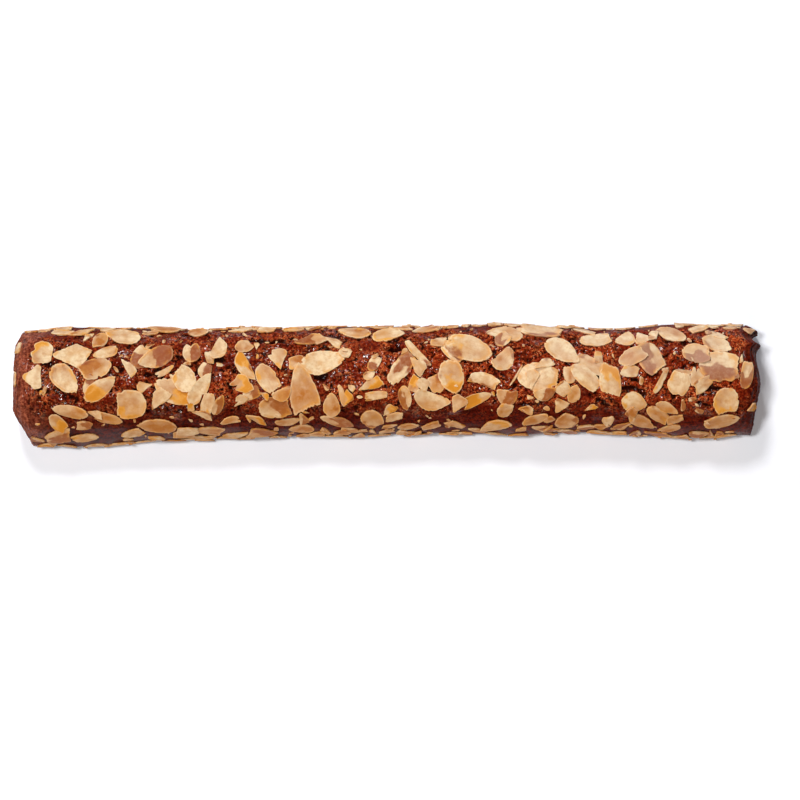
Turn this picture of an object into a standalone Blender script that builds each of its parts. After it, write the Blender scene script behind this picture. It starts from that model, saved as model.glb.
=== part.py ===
"""Filled speculaas bar: one long baked bar of dark spiced dough, coated with flaked almonds.

The bar lies along X on its flat underside. The origin is the middle of the underside, +X points to
the end with the pinched corner, +Y to the back and +Z up. Lengths are in metres, angles in degrees.

A place on the crust is given by two distances measured over it: `along`, from the middle towards
+X, over the ridge and down the end, and `around`, from the ridge towards the back foot (+) or the
front foot (-). crust_point turns the two into a point, and the flakes are laid out in them.
"""

import bisect
import collections
import itertools
import math
import random

import bmesh
import bpy
from mathutils import Vector

MM = 0.001

# The dough, without the almonds.
BAR_LENGTH = 342 * MM
BAR_WIDTH = 49.5 * MM
BAR_HEIGHT = 29.5 * MM
SQUARENESS = 2.4  # exponent of the rounded section: 2 is an ellipse, and more is boxier
FOOT_TUCK = 0.05  # share of the half width by which the side pulls in at the underside
FOOT_TUCK_HEIGHT = 2 * MM
END_ROUND = 9 * MM  # length over which each end rounds down from the ridge
END_SQUARENESS = 2.5
END_NARROWING = 0.07  # share of the width lost at the very end
TIP_HEIGHT_SHARE = 0.13  # the end stops here, as a low upright face

# How the bar wanders from a straight one.
LEFT_SWELL = 2.6 * MM  # extra half width at the -X end, where the roll was pressed flat
LEFT_SWELL_LENGTH = 130 * MM
RIGHT_SWELL = 1.2 * MM
RIGHT_SWELL_LENGTH = 90 * MM
LEFT_BOW = 5.0 * MM  # how far the -X end swings to the front
RIGHT_BOW = 1.4 * MM
BACK_SHIFT = 3.0 * MM  # sets the bowed bar back over the origin
SIDE_WAVES = ((0.35 * MM, 11 * MM, 2.1), (0.3 * MM, 45 * MM, 1.9))  # (height, scale, phase)
LUMP_HEIGHT = 0.5 * MM

# How far the ends draw back from straight ones. At -X the front corner is cut off askew. At +X a
# pinched ear stands out near the back corner, and a belly in the middle.
FRONT_CORNER_CUT = 7.5 * MM
BACK_CORNER_CUT = 2 * MM
RIGHT_SETBACK = 3.5 * MM
EAR_REACH = 7.2 * MM
EAR_PLACE = 0.75  # across the bar, from -1 at the front to 1 at the back
EAR_WIDTH = 0.16
BELLY_REACH = 3.1 * MM
BELLY_PLACE = -0.08
BELLY_WIDTH = 0.42
INSET_FADE = 27 * MM  # distance from the end over which these shapes die out

# The almond flakes.
FLAKE_THICKNESS = 1.0 * MM
FLAKE_ROOT = 3.6 * MM  # how deep a flake's sides go down, into the dough
FLAKE_CORNERS = 8
STACK_STEP = 0.75 * MM  # how much higher a flake sits that lies on others
STIFFNESS = (0.25, 0.55)  # least and most share by which a flake stays flat over the round crust
EDGE_CLEARANCE = 1.2 * MM  # least distance over the crust from a flake to the underside
BARE_END = 20 * MM  # distance over the crust, from each tip, with hardly any flakes
FOOT_COUNT = 27  # flakes in the row along each foot
FOOT_LENGTHS = (7 * MM, 13 * MM)
FOOT_JITTER = 3.5 * MM  # how far each one is from its even place in the row, either way
FOOT_RISE = 3 * MM  # how far the highest of them are above the lowest
FOOT_TURNS = (0, 180, 0, 180, 90)
STREWN = [14 * MM] * 6 + [11 * MM] * 16 + [8.5 * MM] * 20  # typical lengths, largest first
STREW_FROM = 26 * MM  # these keep this far from the ridge
STREW_TURNS = (0, 180)
TURN_SPREAD = 35
LENGTH_SPREAD = (0.85, 1.15)
WIDTH_SHARE = (0.48, 0.72)
STREW_SEED = 11
STREW_TRIES = 14

DOUGH_COLOUR = (0.165, 0.042, 0.016, 1)
ALMOND_COLOUR = (0.72, 0.47, 0.24, 1)

# An almond's outline is an oval drawn in to a point at one end.
TIP_SHARPNESS = 0.45
FULLNESS = 1.14  # makes up for the width that drawing in the tip takes away

# What is left of it in each kind of flake, in units of half the flake's length and width: the middle
# of the oval, its reach, the straight breaks, each by its direction and distance, and how far its two
# ends bend to one side.
BreakShape = collections.namedtuple("BreakShape", "middle reach breaks bend")
SHAPES = {
    "whole": BreakShape(0.0, 1.0, (), 0.0),
    "blunt": BreakShape(0.3, 1.3, ((5, 0.98),), 0.0),
    "wedge": BreakShape(-0.35, 1.35, ((180, 0.95),), 0.0),
    "stub": BreakShape(0.0, 1.6, ((-8, 0.97), (172, 0.95)), 0.0),
    "strap": BreakShape(0.0, 1.6, ((-8, 0.97), (172, 0.95)), 0.45),
    "corner": BreakShape(0.0, 1.1, ((0, 0.8), (270, 0.85)), 0.0),
    "fan": BreakShape(0.1, 1.1, ((55, 0.5), (305, 0.5)), 0.0),
    "shard": BreakShape(0.2, 1.4, ((15, 0.8), (135, 0.72), (250, 0.7)), 0.0),
    "chunk": BreakShape(0.0, 1.5, ((-30, 0.8), (62, 0.8), (128, 0.85), (238, 0.75)), 0.0),
    "sliver": BreakShape(0.0, 1.05, ((95, 0.45),), 0.0),
    "crescent": BreakShape(0.0, 1.05, (), 0.5),
}
SHAPE_CHANCES = (
    "whole", "whole", "blunt", "blunt", "wedge", "wedge", "shard", "chunk", "stub", "sliver", "crescent"
)
BREAK_TURN = 10  # a break's direction varies by this much either way
BREAK_DEPTH = (0.9, 1.0)

Flake = collections.namedtuple("Flake", "along around turn length width shape level seed")

# The large flakes that catch the eye on top, from the -X end: place along and across the bar and
# turn, seen from above, then length, width and shape. Distances are in millimetres.
LANDMARKS = (
    (-159, 1, 345, 8, 11, "shard"),
    (-155, 12, 0, 10, 12, "corner"),
    (-145, 0, 312, 16, 10, "whole"),
    (-143, -14, 168, 17, 6, "whole"),
    (-140, 11, 0, 14, 14, "chunk"),
    (-129, -4, 35, 17, 8, "whole"),
    (-131, 5, 195, 14, 9, "blunt"),
    (-126, -17, 160, 13, 5, "blunt"),
    (-120, 20, 163, 17, 10, "whole"),
    (-115, -11, 175, 14, 14, "blunt"),
    (-104, 10, 202, 17, 10, "whole"),
    (-111, 10, 60, 11, 9, "blunt"),
    (-104, -20, 175, 18, 9, "whole"),
    (-102, 24, 170, 16, 9, "whole"),
    (-84, -4, 55, 17, 7, "whole"),
    (-91, 0, 125, 12, 10, "blunt"),
    (-95, -6, 335, 21, 10, "whole"),
    (-64, 6, 300, 15, 6, "crescent"),
    (-54, 1, 305, 14, 9, "blunt"),
    (-51, -12, 0, 14, 11, "blunt"),
    (-49, 9, 275, 11, 10, "fan"),
    (-43, 24, 345, 11, 7, "whole"),
    (-29, 8, 12, 21, 11, "whole"),
    (-38, -3, 100, 22, 13, "wedge"),
    (-34, 18, 15, 14, 7, "shard"),
    (-25, -11, 90, 12, 8, "whole"),
    (-23, -18, 160, 16, 6, "whole"),
    (-15, 22, 168, 16, 9, "whole"),
    (-7, -2, 20, 13, 6, "shard"),
    (-7, -17, 300, 11, 10, "blunt"),
    (0, 21, 25, 15, 9, "blunt"),
    (6, 5, 55, 18, 8, "blunt"),
    (14, 12, 312, 16, 5, "sliver"),
    (20, -9, 345, 16, 9, "crescent"),
    (29, 1, 285, 16, 12, "whole"),
    (37, 14, 340, 23, 14, "whole"),
    (41, -8, 22, 13, 6, "wedge"),
    (43, 0, 165, 14, 6, "strap"),
    (53, 21, 168, 16, 10, "crescent"),
    (52, 10, 40, 11, 11, "sliver"),
    (67, -17, 30, 13, 6, "whole"),
    (68, 1, 350, 19, 13, "blunt"),
    (79, 13, 320, 18, 11, "whole"),
    (69, 23, 350, 21, 11, "blunt"),
    (81, -18, 60, 11, 10, "blunt"),
    (94, 18, 15, 15, 9, "blunt"),
    (90, 23, 325, 11, 6, "blunt"),
    (89, 1, 318, 16, 8, "blunt"),
    (91, 7, 328, 14, 7, "blunt"),
    (100, 0, 95, 14, 10, "stub"),
    (110, 10, 25, 13, 8, "blunt"),
    (111, -10, 350, 12, 9, "whole"),
    (115, -18, 330, 14, 7, "whole"),
    (118, 10, 300, 15, 12, "blunt"),
    (122, -15, 322, 12, 7, "blunt"),
    (123, 0, 62, 13, 4, "sliver"),
    (129, 21, 325, 15, 9, "whole"),
    (131, -2, 80, 11, 10, "blunt"),
    (139, 12, 350, 13, 9, "blunt"),
    (149, 16, 335, 15, 8, "whole"),
    (149, 6, 355, 19, 14, "blunt"),
    (152, -18, 15, 18, 9, "whole"),
    (153, -9, 265, 12, 12, "blunt"),
    (162, 2, 75, 13, 6, "blunt"),
)


def clear_scene():
    for item in list(bpy.data.objects):
        bpy.data.objects.remove(item, do_unlink=True)


def material(name, colour, roughness):
    made = bpy.data.materials.new(name)
    made.use_nodes = True
    made.diffuse_color = colour
    shader = made.node_tree.nodes["Principled BSDF"]
    shader.inputs["Base Color"].default_value = colour
    shader.inputs["Roughness"].default_value = roughness
    shader.inputs["Metallic"].default_value = 0
    return made


def ease(value):
    """0 below 0, 1 above 1, and a smooth step between."""
    value = min(1.0, max(0.0, value))
    return value * value * (3 - 2 * value)


def bump(value, middle, width):
    """A smooth hill, 1 at its middle."""
    return math.exp(-(((value - middle) / width) ** 2))


def distances(points):
    """How far each point lies along the line through them."""
    steps = (math.dist(a, b) for a, b in itertools.pairwise(points))
    return list(itertools.accumulate(steps, initial=0.0))


def at_distance(marks, points, wanted):
    """The point at that distance along a line, given each point's own distance."""
    wanted = min(max(wanted, marks[0]), marks[-1])
    after = min(max(bisect.bisect_right(marks, wanted), 1), len(marks) - 1)
    share = (wanted - marks[after - 1]) / (marks[after] - marks[after - 1])
    return [a + (b - a) * share for a, b in zip(points[after - 1], points[after])]


def half_section(steps=90):
    """(y, z) from the ridge to the back foot."""
    outline = []
    for step in range(steps + 1):
        angle = math.pi / 2 * step / steps
        y = BAR_WIDTH / 2 * math.sin(angle) ** (2 / SQUARENESS)
        z = BAR_HEIGHT * max(0.0, math.cos(angle)) ** (2 / SQUARENESS)
        outline.append((y * (1 - FOOT_TUCK * math.exp(-z / FOOT_TUCK_HEIGHT)), z))
    return outline


def half_ridge(steps=60):
    """(x, height) from the middle of the bar over the ridge and down to the tip of the end."""
    outline = [(0.0, BAR_HEIGHT)]
    lowest = math.acos(TIP_HEIGHT_SHARE ** (END_SQUARENESS / 2))
    for step in range(steps + 1):
        angle = lowest * step / steps
        reach = END_ROUND * math.sin(angle) ** (2 / END_SQUARENESS)
        height = BAR_HEIGHT * math.cos(angle) ** (2 / END_SQUARENESS)
        outline.append((BAR_LENGTH / 2 - END_ROUND + reach, height))
    return outline


SECTION = half_section()
SECTION_MARKS = distances(SECTION)
RIDGE = half_ridge()
RIDGE_MARKS = distances(RIDGE)
FOOT = SECTION_MARKS[-1]  # `around` at the foot of the side
TIP = RIDGE_MARKS[-1]  # `along` at the tip of the end


def swell(x):
    """The half width at x, as a share of the nominal one."""
    left = LEFT_SWELL * ease((-x - BAR_LENGTH / 2 + LEFT_SWELL_LENGTH) / LEFT_SWELL_LENGTH)
    right = RIGHT_SWELL * ease((x - BAR_LENGTH / 2 + RIGHT_SWELL_LENGTH) / RIGHT_SWELL_LENGTH)
    waves = sum(height * math.sin(x / scale + phase) for height, scale, phase in SIDE_WAVES)
    return 1 + (left + right + waves) / (BAR_WIDTH / 2)


def centre_line(x):
    left = LEFT_BOW * (0.5 - x / BAR_LENGTH) ** 2
    right = RIGHT_BOW * ease((x / BAR_LENGTH - 0.1) / 0.25)
    return BACK_SHIFT - left - right


def lump(x, around):
    """Rises and hollows of the baked dough: a wide pattern of waves and a closer one."""
    wide = math.sin(x / (14 * MM) + 1.3) * math.cos(around / (12 * MM) + 0.4)
    close = math.sin(x / (6.3 * MM) + around / (9 * MM) + 2.1) * math.cos(around / (5.7 * MM) - 0.8)
    return LUMP_HEIGHT * (wide + 0.7 * close)


def end_inset(x, across):
    """How far the end draws back there. `across` runs from -1 at the front to 1 at the back."""
    if x < 0:
        front = FRONT_CORNER_CUT * ease((-0.3 - across) / 0.75)
        back = BACK_CORNER_CUT * ease((across - 0.6) / 0.4)
        inset = front + back
    else:
        ear = EAR_REACH * bump(across, EAR_PLACE, EAR_WIDTH)
        belly = BELLY_REACH * bump(across, BELLY_PLACE, BELLY_WIDTH)
        inset = RIGHT_SETBACK - ear - belly
    return inset


def crust_point(along, around):
    """The point of the dough at those two distances over its surface."""
    x, height = at_distance(RIDGE_MARKS, RIDGE, abs(along))
    y, z = at_distance(SECTION_MARKS, SECTION, abs(around))
    x = math.copysign(x, along)
    y = math.copysign(y, around)
    stands = height / BAR_HEIGHT
    near_end = ease((abs(x) - BAR_LENGTH / 2 + INSET_FADE) / INSET_FADE)
    inset = end_inset(x, y / (BAR_WIDTH / 2)) * near_end
    raised = 1 + lump(x, around) * stands / (BAR_WIDTH / 2)
    narrowed = 1 - END_NARROWING * (1 - stands) ** 2
    return Vector(
        (
            x - math.copysign(inset, x),
            centre_line(x) + y * swell(x) * raised * narrowed,
            z * stands * raised,
        )
    )


def crust_normal(along, around, step=0.5 * MM):
    """The outward direction of the dough there."""
    over = crust_point(along + step, around) - crust_point(along - step, around)
    side = crust_point(along, around + step) - crust_point(along, around - step)
    return over.cross(side).normalized()


def around_at(along, y, halvings=24):
    """`around` of the point that lies at y, seen from above."""
    low, high = -FOOT, FOOT
    for _ in range(halvings):
        middle = (low + high) / 2
        if crust_point(along, middle).y < y:
            low = middle
        else:
            high = middle
    return middle


def stations(tip, spacing, close_spacing, close_length):
    """Distances from -tip to tip, closer together near the two ends."""
    open_end = tip - close_length
    wide = round(2 * open_end / spacing)
    close = round(close_length / close_spacing)
    right = [open_end + close_length * step / close for step in range(close + 1)]
    middle = [-open_end + 2 * open_end * step / wide for step in range(1, wide)]
    return [-mark for mark in reversed(right)] + middle + right


def finish_mesh(name, mesh, surface):
    bmesh.ops.recalc_face_normals(mesh, faces=mesh.faces)
    data = bpy.data.meshes.new(name)
    mesh.to_mesh(data)
    mesh.free()
    data.materials.append(surface)
    return bpy.data.objects.new(name, data)


def make_dough(name, dough):
    """The bar as one closed skin: rows of points across it, its underside and its two end faces."""
    columns = stations(TIP, 7 * MM, 3.4 * MM, 34 * MM)
    rows = stations(FOOT, 4.6 * MM, 4 * MM, 12 * MM)
    mesh = bmesh.new()
    grid = [[mesh.verts.new(crust_point(along, around)) for around in rows] for along in columns]
    for near, far in itertools.pairwise(grid):
        for step in range(len(rows) - 1):
            mesh.faces.new((near[step], far[step], far[step + 1], near[step + 1]))
        mesh.faces.new((near[-1], far[-1], far[0], near[0]))
    mesh.faces.new(grid[0])
    mesh.faces.new(grid[-1])
    return finish_mesh(name, mesh, dough)


def landmark_flakes():
    flakes = []
    for index, (x, y, turn, length, width, shape) in enumerate(LANDMARKS):
        along = x * MM
        around = around_at(along, y * MM)
        flakes.append(Flake(along, around, turn, length * MM, width * MM, shape, 0, index))
    return flakes


def room_around(along, around, flakes):
    """The distance over the crust from that place to the nearest flake's edge, were it round."""
    gaps = (
        math.hypot(along - other.along, around - other.around) - (other.length + other.width) / 4
        for other in flakes
    )
    return min(gaps)


def drawn_form(draw, typical_length, turns):
    """The length, width, turn and shape of one more flake, and how wide it is around the bar."""
    length = typical_length * draw.uniform(*LENGTH_SPREAD)
    width = length * draw.uniform(*WIDTH_SHARE)
    turn = draw.choice(turns) + draw.uniform(-TURN_SPREAD, TURN_SPREAD)
    shape = draw.choice(SHAPE_CHANCES)
    across = math.hypot(length * math.sin(math.radians(turn)), width * math.cos(math.radians(turn)))
    return length, width, turn, shape, across


def foot_flakes(draw, placed):
    """A row of flakes along each foot."""
    flakes = list(placed)
    for side, step in itertools.product((-1, 1), range(FOOT_COUNT)):
        length, width, turn, shape, across = drawn_form(draw, draw.uniform(*FOOT_LENGTHS), FOOT_TURNS)
        end_edge = TIP - BARE_END - length / 2
        even_place = (2 * step + 1) / FOOT_COUNT - 1
        along = end_edge * even_place + draw.uniform(-FOOT_JITTER, FOOT_JITTER)
        around = side * (FOOT - EDGE_CLEARANCE - across / 2 - draw.uniform(0, FOOT_RISE))
        flakes.append(Flake(along, around, turn, length, width, shape, 0, len(flakes)))
    return flakes


def strewn_flakes(draw, placed):
    """Flakes strewn evenly into the room that is left on the sides, the largest first: of a few
    tries for each one, the place with the most room is taken."""
    flakes = list(placed)
    for typical_length in STREWN:
        length, width, turn, shape, across = drawn_form(draw, typical_length, STREW_TURNS)
        side_edge = FOOT - EDGE_CLEARANCE - across / 2
        end_edge = TIP - BARE_END - length / 2
        tries = [
            (draw.uniform(-end_edge, end_edge), draw.choice((-1, 1)) * draw.uniform(STREW_FROM, side_edge))
            for _ in range(STREW_TRIES)
        ]
        room, along, around = max((room_around(*place, flakes), *place) for place in tries)
        level = 1 if room < length / 4 else 0
        flakes.append(Flake(along, around, turn, length, width, shape, level, len(flakes)))
    return flakes


def flake_outline(flake):
    """(a, b) round a flake: an almond's oval, pointed at one end, less what broke off it."""
    shape = SHAPES[flake.shape]
    draw = random.Random(flake.seed)
    breaks = [
        (
            math.radians(direction + draw.uniform(-BREAK_TURN, BREAK_TURN)),
            distance * draw.uniform(*BREAK_DEPTH),
        )
        for direction, distance in shape.breaks
    ]
    outline = []
    for corner in range(FLAKE_CORNERS):
        angle = math.tau * corner / FLAKE_CORNERS
        a = shape.middle + shape.reach * math.cos(angle)
        b = FULLNESS * math.sin(angle) * math.sin(angle / 2) ** TIP_SHARPNESS
        for direction, distance in breaks:
            beyond = (a * math.cos(direction) + b * math.sin(direction)) / distance
            if beyond > 1:
                a, b = a / beyond, b / beyond
        b += shape.bend * (a * a - 0.4)
        outline.append((a * flake.length / 2, b * flake.width / 2))
    return outline


def make_flake(flake, almond):
    """A flake as a thick plate that follows the crust and is rooted in it."""
    middle = crust_point(flake.along, flake.around)
    up = crust_normal(flake.along, flake.around)
    tangent = (Vector((1, 0, 0)) - up * up.x).normalized()
    side = up.cross(tangent)
    turn = math.radians(flake.turn)
    stiffness = random.Random(-1 - flake.seed).uniform(*STIFFNESS)
    rise = FLAKE_THICKNESS + STACK_STEP * flake.level

    def top_point(a, b):
        over = a * math.cos(turn) - b * math.sin(turn)
        across = a * math.sin(turn) + b * math.cos(turn)
        bent = crust_point(flake.along + over, flake.around + across)
        flat = middle + tangent * over + side * across
        return bent.lerp(flat, stiffness) + up * rise

    mesh = bmesh.new()
    tops = [mesh.verts.new(top_point(a, b)) for a, b in flake_outline(flake)]
    crown = mesh.verts.new(top_point(0, 0))
    roots = [mesh.verts.new(corner.co - up * FLAKE_ROOT) for corner in tops]
    keel = mesh.verts.new(crown.co - up * FLAKE_ROOT)
    for here in range(FLAKE_CORNERS):
        after = (here + 1) % FLAKE_CORNERS
        mesh.faces.new((crown, tops[here], tops[after]))
        mesh.faces.new((tops[here], roots[here], roots[after], tops[after]))
        mesh.faces.new((keel, roots[after], roots[here]))
    return finish_mesh(f"flake_{flake.seed:03d}", mesh, almond)


def fuse(body, pieces):
    """Joins the pieces to the body in one union, then removes them."""
    heap = bpy.data.collections.new("flakes")
    bpy.context.scene.collection.children.link(heap)
    for piece in pieces:
        heap.objects.link(piece)
    union = body.modifiers.new("fused_flakes", "BOOLEAN")
    union.operation = "UNION"
    union.operand_type = "COLLECTION"
    union.solver = "MANIFOLD"  # the exact solver leaves open edges between the many crossing flakes
    union.collection = heap
    graph = bpy.context.evaluated_depsgraph_get()
    fused = bpy.data.meshes.new_from_object(body.evaluated_get(graph))
    body.modifiers.clear()
    body.data = fused
    for piece in pieces:
        bpy.data.objects.remove(piece, do_unlink=True)
    bpy.data.collections.remove(heap)
    fused.shade_smooth()
    fused.set_sharp_from_angle(angle=math.radians(35))


def main():
    clear_scene()
    dough = material("speculaas_dough", DOUGH_COLOUR, 0.55)
    almond = material("almond_flake", ALMOND_COLOUR, 0.5)
    bar = make_dough("speculaas_bar", dough)
    bar.data.materials.append(almond)
    bpy.context.scene.collection.objects.link(bar)
    draw = random.Random(STREW_SEED)
    flakes = strewn_flakes(draw, foot_flakes(draw, landmark_flakes()))
    fuse(bar, [make_flake(flake, almond) for flake in flakes])


main()
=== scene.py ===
"""The looks of the filled speculaas bar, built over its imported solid.

The dough is one fine mesh with its crumb, cracks and smears, and the almond flakes are laid on it one
by one. All lengths are in metres, in the frame of the solid: X along the bar, Y to the back, Z up.

A place on the crust is given by two distances measured over it: `along`, from the middle towards
+X, over the ridge and down the end, and `around`, from the ridge towards the back foot (+) or the
front foot (-). crust_points turns the two into points. The form, and the places of the flakes that
the solid has, follow the rules and the numbers of the solid's own source.
"""

import collections
import functools
import itertools
import math
import random

import bpy
import numpy as np
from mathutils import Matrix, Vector, noise


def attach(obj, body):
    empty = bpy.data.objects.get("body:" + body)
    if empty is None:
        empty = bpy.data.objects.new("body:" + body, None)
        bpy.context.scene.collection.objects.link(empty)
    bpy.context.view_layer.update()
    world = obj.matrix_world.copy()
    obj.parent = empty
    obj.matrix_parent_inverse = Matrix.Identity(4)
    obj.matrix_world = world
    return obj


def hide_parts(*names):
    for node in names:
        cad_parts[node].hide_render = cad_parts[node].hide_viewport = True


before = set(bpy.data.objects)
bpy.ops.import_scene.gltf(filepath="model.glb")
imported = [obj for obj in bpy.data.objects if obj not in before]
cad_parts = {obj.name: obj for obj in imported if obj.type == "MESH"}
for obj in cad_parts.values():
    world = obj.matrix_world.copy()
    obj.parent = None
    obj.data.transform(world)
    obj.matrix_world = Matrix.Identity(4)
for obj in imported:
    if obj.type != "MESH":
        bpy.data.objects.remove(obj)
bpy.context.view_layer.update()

MM = 0.001

# The dough, as in the solid.
BAR_LENGTH = 342 * MM
BAR_WIDTH = 49.5 * MM
BAR_HEIGHT = 29.5 * MM
SQUARENESS = 2.4
FOOT_TUCK = 0.05
FOOT_TUCK_HEIGHT = 2 * MM
END_ROUND = 9 * MM
END_SQUARENESS = 2.5
END_NARROWING = 0.07
TIP_HEIGHT_SHARE = 0.13
LEFT_SWELL = 2.6 * MM
LEFT_SWELL_LENGTH = 130 * MM
RIGHT_SWELL = 1.2 * MM
RIGHT_SWELL_LENGTH = 90 * MM
LEFT_BOW = 5.0 * MM
RIGHT_BOW = 1.4 * MM
BACK_SHIFT = 3.0 * MM
SIDE_WAVES = ((0.35 * MM, 11 * MM, 2.1), (0.3 * MM, 45 * MM, 1.9))
LUMP_HEIGHT = 0.5 * MM
FRONT_CORNER_CUT = 7.5 * MM
BACK_CORNER_CUT = 2 * MM
RIGHT_SETBACK = 3.5 * MM
EAR_REACH = 7.2 * MM
EAR_PLACE = 0.75
EAR_WIDTH = 0.16
BELLY_REACH = 3.1 * MM
BELLY_PLACE = -0.08
BELLY_WIDTH = 0.42
INSET_FADE = 27 * MM

# The flakes that the solid has.
EDGE_CLEARANCE = 1.2 * MM
BARE_END = 20 * MM
FOOT_COUNT = 27
FOOT_LENGTHS = (7 * MM, 13 * MM)
FOOT_JITTER = 3.5 * MM
FOOT_RISE = 3 * MM
FOOT_TURNS = (0, 180, 0, 180, 90)
STREWN = [14 * MM] * 6 + [11 * MM] * 16 + [8.5 * MM] * 20
STREW_FROM = 26 * MM
STREW_TURNS = (0, 180)
TURN_SPREAD = 35
LENGTH_SPREAD = (0.85, 1.15)
WIDTH_SHARE = (0.48, 0.72)
STIFFNESS = (0.25, 0.55)
STREW_SEED = 11
STREW_TRIES = 14
TIP_SHARPNESS = 0.45
FULLNESS = 1.14
BreakShape = collections.namedtuple("BreakShape", "middle reach breaks bend")
SHAPES = {
    "whole": BreakShape(0.0, 1.0, (), 0.0),
    "blunt": BreakShape(0.3, 1.3, ((5, 0.98),), 0.0),
    "wedge": BreakShape(-0.35, 1.35, ((180, 0.95),), 0.0),
    "stub": BreakShape(0.0, 1.6, ((-8, 0.97), (172, 0.95)), 0.0),
    "strap": BreakShape(0.0, 1.6, ((-8, 0.97), (172, 0.95)), 0.45),
    "corner": BreakShape(0.0, 1.1, ((0, 0.8), (270, 0.85)), 0.0),
    "fan": BreakShape(0.1, 1.1, ((55, 0.5), (305, 0.5)), 0.0),
    "shard": BreakShape(0.2, 1.4, ((15, 0.8), (135, 0.72), (250, 0.7)), 0.0),
    "chunk": BreakShape(0.0, 1.5, ((-30, 0.8), (62, 0.8), (128, 0.85), (238, 0.75)), 0.0),
    "sliver": BreakShape(0.0, 1.05, ((95, 0.45),), 0.0),
    "crescent": BreakShape(0.0, 1.05, (), 0.5),
    "vee": BreakShape(0.2, 1.4, ((15, 0.8), (135, 0.75), (250, 0.72)), 0.0),
}
SHAPE_CHANCES = (
    "whole", "whole", "blunt", "blunt", "wedge", "wedge", "shard", "chunk", "stub", "sliver", "crescent"
)
BREAK_TURN = 10
BREAK_DEPTH = (0.9, 1.0)

Flake = collections.namedtuple("Flake", "along around turn length width shape tone mark seed")

# The large flakes that catch the eye on top: place along and across the bar and turn, seen from
# above, then length, width, shape, tone, and the side on which it is toasted or soaked with glaze, if
# it is. Distances are in millimetres and directions in degrees from +X.
LANDMARKS = (
    (-159, 1, 345, 8, 11, "shard", "pale"),
    (-155, 12, 0, 10, 12, "corner", "kissed", 120),
    (-145, 0, 312, 16, 10, "whole", "pale"),
    (-143, -14, 168, 17, 6, "whole", "tan"),
    (-140, 11, 0, 14, 14, "chunk", "pale"),
    (-129, -4, 35, 17, 8, "whole", "toasted", 215),
    (-131, 5, 195, 14, 9, "blunt", "tan"),
    (-126, -17, 160, 13, 5, "blunt", "tan"),
    (-120, 20, 163, 17, 10, "whole", "pale"),
    (-115, -11, 175, 14, 14, "blunt", "kissed", 235),
    (-104, 10, 202, 17, 10, "whole", "glazed", 15),
    (-111, 10, 60, 11, 9, "blunt", "glazed", 250),
    (-104, -20, 175, 18, 9, "whole", "tan"),
    (-102, 24, 170, 16, 9, "whole", "tan"),
    (-84, -4, 55, 17, 7, "whole", "pale"),
    (-91, 0, 125, 12, 10, "blunt", "pale"),
    (-95, -6, 335, 21, 10, "whole", "toasted", 330),
    (-64, 6, 300, 15, 6, "crescent", "toasted", 100),
    (-54, 1, 305, 14, 9, "blunt", "kissed", 190),
    (-51, -12, 0, 14, 11, "blunt", "glazed", 30),
    (-49, 9, 275, 11, 10, "fan", "kissed", 260),
    (-43, 24, 345, 11, 7, "whole", "toasted", 170),
    (-29, 8, 12, 21, 11, "whole", "pale"),
    (-38, -3, 100, 22, 13, "wedge", "tan"),
    (-34, 18, 15, 14, 7, "shard", "glazed", 200),
    (-25, -11, 90, 12, 8, "whole", "tan"),
    (-23, -18, 160, 16, 6, "whole", "glazed", 0),
    (-15, 22, 168, 16, 9, "whole", "tan"),
    (-7, -2, 20, 13, 6, "shard", "toasted", 0),
    (-7, -17, 300, 11, 10, "blunt", "tan"),
    (0, 21, 25, 15, 9, "blunt", "kissed", 250),
    (6, 5, 55, 18, 8, "blunt", "glazed", 60),
    (14, 12, 312, 16, 5, "sliver", "pale"),
    (20, -9, 345, 16, 9, "crescent", "pale"),
    (29, 1, 285, 16, 12, "whole", "toasted", 290),
    (37, 14, 340, 23, 14, "whole", "kissed", 160),
    (41, -8, 22, 13, 6, "wedge", "toasted", 200),
    (43, 0, 165, 14, 6, "strap", "pale"),
    (53, 21, 168, 16, 10, "crescent", "pale"),
    (52, 10, 40, 11, 11, "sliver", "tan"),
    (67, -17, 30, 13, 6, "whole", "tan"),
    (68, 1, 350, 19, 13, "blunt", "pale"),
    (79, 13, 320, 18, 11, "whole", "pale"),
    (69, 23, 350, 21, 11, "blunt", "pale"),
    (81, -18, 60, 11, 10, "blunt", "tan"),
    (94, 18, 15, 15, 9, "blunt", "pale"),
    (90, 23, 325, 11, 6, "blunt", "pale"),
    (89, 1, 318, 16, 8, "blunt", "pale"),
    (91, 7, 328, 14, 7, "blunt", "tan"),
    (100, 0, 95, 14, 10, "stub", "toasted", 80),
    (110, 10, 25, 13, 8, "blunt", "tan"),
    (111, -10, 350, 12, 9, "whole", "kissed", 180),
    (115, -18, 330, 14, 7, "whole", "tan"),
    (118, 10, 300, 15, 12, "blunt", "glazed", 190),
    (122, -15, 322, 12, 7, "blunt", "tan"),
    (123, 0, 62, 13, 4, "sliver", "pale"),
    (129, 21, 325, 15, 9, "whole", "tan"),
    (131, -2, 80, 11, 10, "blunt", "pale"),
    (139, 12, 350, 13, 9, "blunt", "glazed", 280),
    (149, 16, 335, 15, 8, "whole", "pale"),
    (149, 6, 355, 19, 14, "blunt", "glazed", 260),
    (152, -18, 15, 18, 9, "whole", "tan"),
    (153, -9, 265, 12, 12, "blunt", "kissed", 250),
    (162, 2, 75, 13, 6, "blunt", "glazed", 270),
)

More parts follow.
